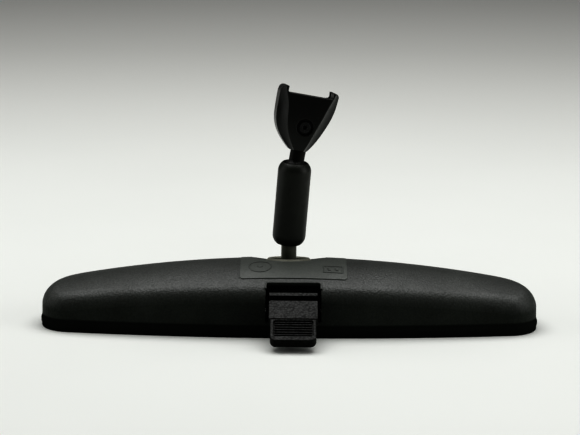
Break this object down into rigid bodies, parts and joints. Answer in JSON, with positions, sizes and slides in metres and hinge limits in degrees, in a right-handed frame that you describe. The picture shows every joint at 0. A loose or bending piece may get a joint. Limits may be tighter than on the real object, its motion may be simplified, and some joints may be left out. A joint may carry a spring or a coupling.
{
  "type": "interior rearview mirror",
  "caption": "Interior rearview mirror with a day/night lever, a double ball arm and a windshield button mount, lying on its glass.",
  "frame": {"origin": "on the flat ring of the rim that the mirror rests on, at the middle of the lever edge", "axes": "+X to the right along the mirror's width, +Y from the lever edge to the top edge, +Z out of the mirror's back, away from the glass, towards the windshield mount"},
  "size_m": [0.254, 0.0884, 0.1214],
  "materials": {
    "case_plastic": "fine grained black moulding",
    "collar_plastic": "smooth dark grey moulding",
    "glass": "clear polished prism",
    "silver": "silvered",
    "foam": "open foam",
    "pin_steel": "drawn steel",
    "lever_plastic": "fine grained black moulding",
    "bracket_plastic": "glass filled nylon",
    "stud_coated": "black coated steel",
    "seat_nylon": "natural nylon",
    "spring_steel": "oiled spring steel",
    "arm_coated": "black powder coat, semi gloss",
    "mount_coated": "black coated die casting, semi gloss",
    "leaf_steel": "bare spring steel",
    "screw_black": "black oxide steel"
  },
  "bodies": {
    "case": {"mirror_case": "case_plastic", "stud_collar": "collar_plastic", "mirror_glass": "glass", "silver_backing": "silver", "glass_pad_left": "foam", "glass_pad_right": "foam", "lever_pivot_pin": "pin_steel", "bracket_pivot_pin": "pin_steel"},
    "lever": {"toggle_lever": "lever_plastic"},
    "bracket": {"pivot_bracket": "bracket_plastic", "rivet_washer": "pin_steel", "detent_leaf": "spring_steel", "lower_ball_stud": "stud_coated"},
    "lower_liner": {"lower_ball_liner": "seat_nylon"},
    "lower_cup": {"lower_pressure_cup": "seat_nylon"},
    "arm": {"lower_thrust_washer": "pin_steel", "arm_tube": "arm_coated", "arm_spring": "spring_steel", "upper_thrust_washer": "pin_steel"},
    "upper_cup": {"upper_pressure_cup": "seat_nylon"},
    "upper_liner": {"upper_ball_liner": "seat_nylon"},
    "mount": {"upper_ball_stud": "stud_coated", "windshield_mount": "mount_coated", "pressure_leaf": "leaf_steel", "set_screw": "screw_black"}
  },
  "joints": [
    {"name": "lever_flip", "type": "hinge", "parent": "case", "child": "lever", "pos_m": [0.002, 0.00505, 0.012], "axis": [-1, 0, 0], "range_deg": [0, 36]},
    {"name": "bracket_tilt", "type": "hinge", "parent": "case", "child": "bracket", "pos_m": [-0.0005, 0.05055, 0.0125], "axis": [1, 0, 0], "range_deg": [0, 3.61]},
    {"name": "lower_ball_pitch", "type": "hinge", "parent": "bracket", "child": "lower_liner", "pos_m": [-0.0005, 0.04005, 0.0419], "axis": [1, 0, 0], "range_deg": [-14, 14]},
    {"name": "lower_ball_roll", "type": "hinge", "parent": "lower_liner", "child": "lower_cup", "pos_m": [-0.0005, 0.04005, 0.0419], "axis": [0, 1, 0], "range_deg": [-18.3, 9.7]},
    {"name": "arm_twist", "type": "hinge", "parent": "lower_cup", "child": "arm", "pos_m": [-0.0005, 0.04005, 0.0419], "axis": [0.075, 0, 0.9972], "continuous": true},
    {"name": "mount_twist", "type": "hinge", "parent": "arm", "child": "upper_cup", "pos_m": [0.00212, 0.04005, 0.0768], "axis": [0.075, 0, 0.9972], "continuous": true},
    {"name": "upper_ball_roll", "type": "hinge", "parent": "upper_cup", "child": "upper_liner", "pos_m": [0.00212, 0.04005, 0.0768], "axis": [0, 1, 0], "range_deg": [-19.7, 8.3]},
    {"name": "upper_ball_pitch", "type": "hinge", "parent": "upper_liner", "child": "mount", "pos_m": [0.00212, 0.04005, 0.0768], "axis": [0.9848, 0, -0.1736], "range_deg": [-7, 21]}
  ],
  "couplings": [
    {"joint": "bracket_tilt", "follows": "lever_flip", "ratio": 0.0996}
  ]
}
